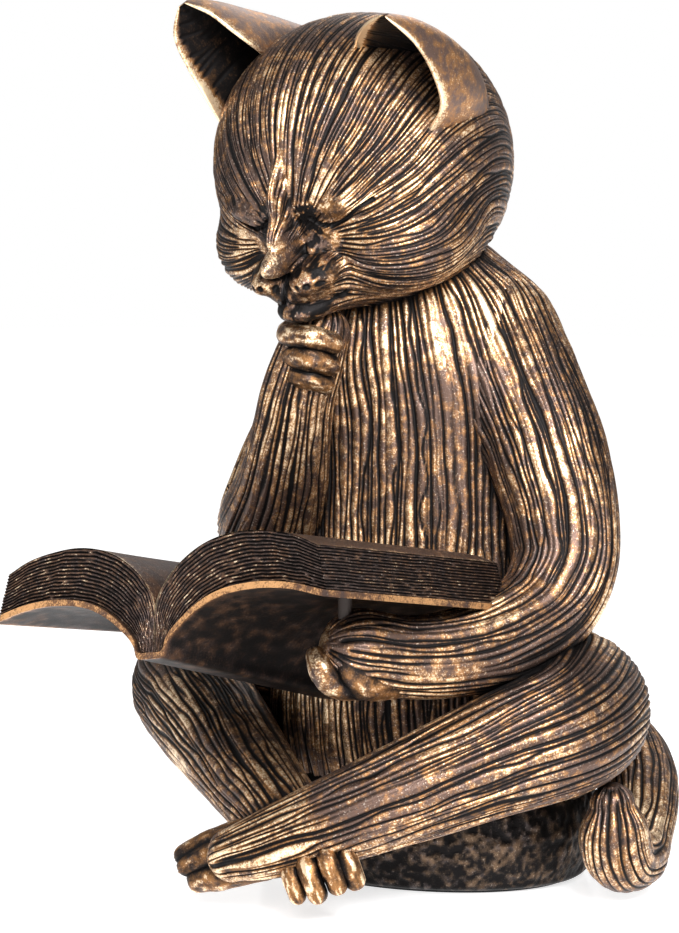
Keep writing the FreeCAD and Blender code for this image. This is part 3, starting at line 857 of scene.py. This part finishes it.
dressing = [(skin, "head", "fur_bronze", "fur") for skin in headSkins] + [
    (body, "torso_shell", "fur_bronze", "fur"),
    (leftArm, "left_arm", "fur_bronze", "fur"), (rightArm, "right_arm", "fur_bronze", "fur"),
    (leftLeg, "left_leg", "fur_bronze", "fur"), (rightLeg, "right_leg", "fur_bronze", "fur"),
    (tail, "tail", "fur_bronze", "fur"), (leftEar, "left_ear", "ear_bronze", "ear"),
    (rightEar, "right_ear", "ear_bronze", "ear"), (leftPages, "left_page_block", "page_bronze", "page"),
    (rightPages, "right_page_block", "page_bronze", "page"), (cover, "book_cover", "cover_bronze", "cover"),
    (seat, "seat_base", "base_bronze", "seat"), (felt, "base_felt", "felt", None),
]
for piece, node, slotName, finish in dressing:
    piece.data.materials.clear()
    piece.data.materials.append(bronzes[finish] if finish else feltMaterial)
    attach(piece, "root")
    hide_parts(node)
# near-black for the pins and the vent plug: painted shade, so a pin showing under the book reads as the
# shadow there
pinPaintedShade, wire = startMaterial("pinPaintedShade")
finishMaterial(wire, {"Base Color": (0.03, 0.02, 0.016, 1), "Metallic": 0.3, "Roughness": 0.6})
for piece in bpy.data.objects:
    if piece.type == "MESH" and (piece.name.endswith("_pin") or piece.name == "vent_plug"):
        for k in range(len(piece.data.materials)):
            piece.data.materials[k] = pinPaintedShade
print("materials set")

# floor, light and camera
bpy.ops.object.select_all(action="DESELECT")
bpy.ops.mesh.primitive_plane_add(size=8, location=(0, 0, 0))
floor = bpy.context.object
floor.name = "floor"
material, wire = startMaterial("paleFloor")
finishMaterial(wire, {"Base Color": (0.85, 0.85, 0.86, 1), "Roughness": 0.16, "Emission Color": (1, 1, 1, 1),
                      "Emission Strength": 0.72})
floor.data.materials.append(material)

world = bpy.data.worlds.new("studio")
bpy.context.scene.world = world
world.use_nodes = True
backdrop = world.node_tree.nodes["Background"]
seen = world.node_tree.nodes.new("ShaderNodeLightPath")
level = world.node_tree.nodes.new("ShaderNodeMapRange")
level.inputs[3].default_value, level.inputs[4].default_value = 0.36, 1.0
world.node_tree.links.new(seen.outputs["Is Camera Ray"], level.inputs[0])
world.node_tree.links.new(level.outputs[0], backdrop.inputs[1])
backdrop.inputs[0].default_value = (1, 1, 1, 1)

view = {"azimuth": 40, "elevation": 4, "distance": 0.7, "target": (-0.0136, -0.0114, 0.0956), "lens": 114.5}
# lamps: azimuth, elevation, distance, size and power
lamps = {"key": (54, 31, 0.8, 0.3, 12.5), "front": (32, 22, 0.9, 0.3, 4.5), "side": (-50, 20, 0.9, 0.5, 1.2),
         "back": (200, 45, 0.9, 0.4, 2)}
lampTarget = (0, -0.01, 0.1)


def standAround(piece, centre, azimuth, elevation, distance):  # a lamp or camera, turned to look in
    a, e = math.radians(azimuth), math.radians(elevation)
    centre = Vector(centre)
    outward = Vector((math.sin(a) * math.cos(e), -math.cos(a) * math.cos(e), math.sin(e)))
    piece.location = centre + distance * outward
    piece.rotation_euler = (centre - piece.location).to_track_quat("-Z", "Y").to_euler()
    bpy.context.collection.objects.link(piece)


for name, (azimuth, elevation, distance, size, power) in lamps.items():
    light = bpy.data.lights.new(name, "AREA")
    light.shape, light.size, light.energy = "SQUARE", size, power
    standAround(bpy.data.objects.new(name, light), lampTarget, azimuth, elevation, distance)

lens = bpy.data.cameras.new("camera")
lens.lens = view["lens"]
camera = bpy.data.objects.new("camera", lens)
standAround(camera, view["target"], view["azimuth"], view["elevation"], view["distance"])
bpy.context.scene.camera = camera
bpy.context.scene.view_settings.view_transform = "Standard"
